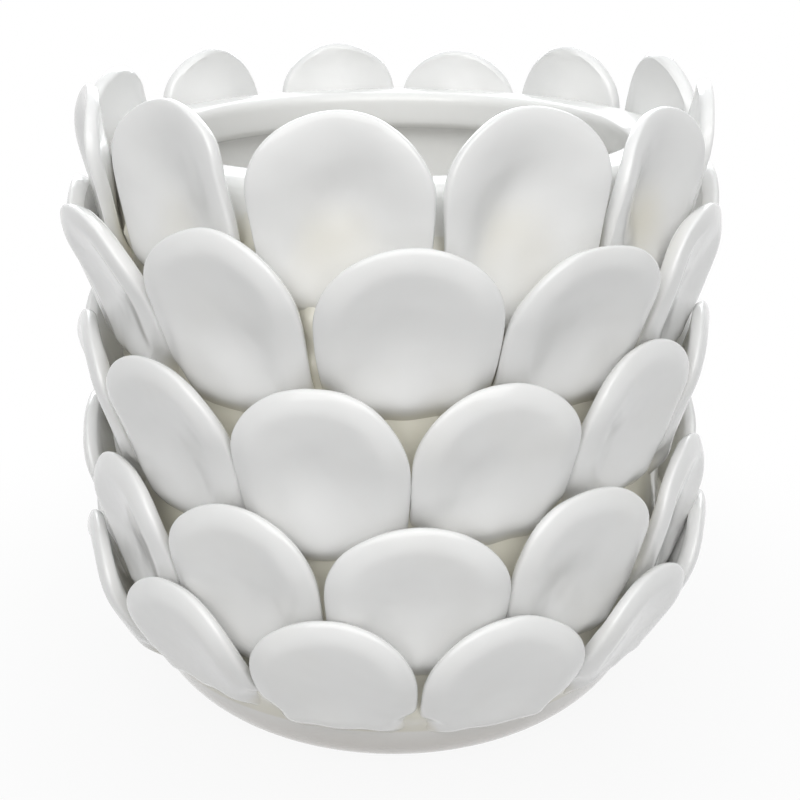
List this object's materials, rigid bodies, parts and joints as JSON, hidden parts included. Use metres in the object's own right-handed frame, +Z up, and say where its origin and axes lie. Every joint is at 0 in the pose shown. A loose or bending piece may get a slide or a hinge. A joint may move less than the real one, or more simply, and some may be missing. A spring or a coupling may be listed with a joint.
{
  "type": "scalloped ceramic vase",
  "caption": "Round white glazed vase with an open mouth, its outside covered in overlapping rows of round hand-pressed clay petals, for flowers or a pot.",
  "frame": {"origin": "centre of the flat foot, on the surface the vase stands on", "axes": "+Z up along the axis of the vase, the pictured front looks along -Y, +X to the right of it"},
  "size_m": [0.2537, 0.2531, 0.2457],
  "materials": {
    "glazed_body": "glossy",
    "glazed_petals": "glossy"
  },
  "bodies": {
    "root": {"vase_body": "glazed_body", "row1_petal_01": "glazed_petals", "row1_petal_02": "glazed_petals", "row1_petal_03": "glazed_petals", "row1_petal_04": "glazed_petals", "row1_petal_05": "glazed_petals", "row1_petal_06": "glazed_petals", "row1_petal_07": "glazed_petals", "row1_petal_08": "glazed_petals", "row1_petal_09": "glazed_petals", "row1_petal_10": "glazed_petals", "row1_petal_11": "glazed_petals", "row1_petal_12": "glazed_petals", "row2_petal_01": "glazed_petals", "row2_petal_02": "glazed_petals", "row2_petal_03": "glazed_petals", "row2_petal_04": "glazed_petals", "row2_petal_05": "glazed_petals", "row2_petal_06": "glazed_petals", "row2_petal_07": "glazed_petals", "row2_petal_08": "glazed_petals", "row2_petal_09": "glazed_petals", "row2_petal_10": "glazed_petals", "row2_petal_11": "glazed_petals", "row2_petal_12": "glazed_petals", "row3_petal_01": "glazed_petals", "row3_petal_02": "glazed_petals", "row3_petal_03": "glazed_petals", "row3_petal_04": "glazed_petals", "row3_petal_05": "glazed_petals", "row3_petal_06": "glazed_petals", "row3_petal_07": "glazed_petals", "row3_petal_08": "glazed_petals", "row3_petal_09": "glazed_petals", "row3_petal_10": "glazed_petals", "row3_petal_11": "glazed_petals", "row3_petal_12": "glazed_petals", "row4_petal_01": "glazed_petals", "row4_petal_02": "glazed_petals", "row4_petal_03": "glazed_petals", "row4_petal_04": "glazed_petals", "row4_petal_05": "glazed_petals", "row4_petal_06": "glazed_petals", "row4_petal_07": "glazed_petals", "row4_petal_08": "glazed_petals", "row4_petal_09": "glazed_petals", "row4_petal_10": "glazed_petals", "row4_petal_11": "glazed_petals", "row5_petal_01": "glazed_petals", "row5_petal_02": "glazed_petals", "row5_petal_03": "glazed_petals", "row5_petal_04": "glazed_petals", "row5_petal_05": "glazed_petals", "row5_petal_06": "glazed_petals", "row5_petal_07": "glazed_petals", "row5_petal_08": "glazed_petals", "row5_petal_09": "glazed_petals", "row5_petal_10": "glazed_petals", "row5_petal_11": "glazed_petals", "row5_petal_12": "glazed_petals"}
  },
  "joints": []
}
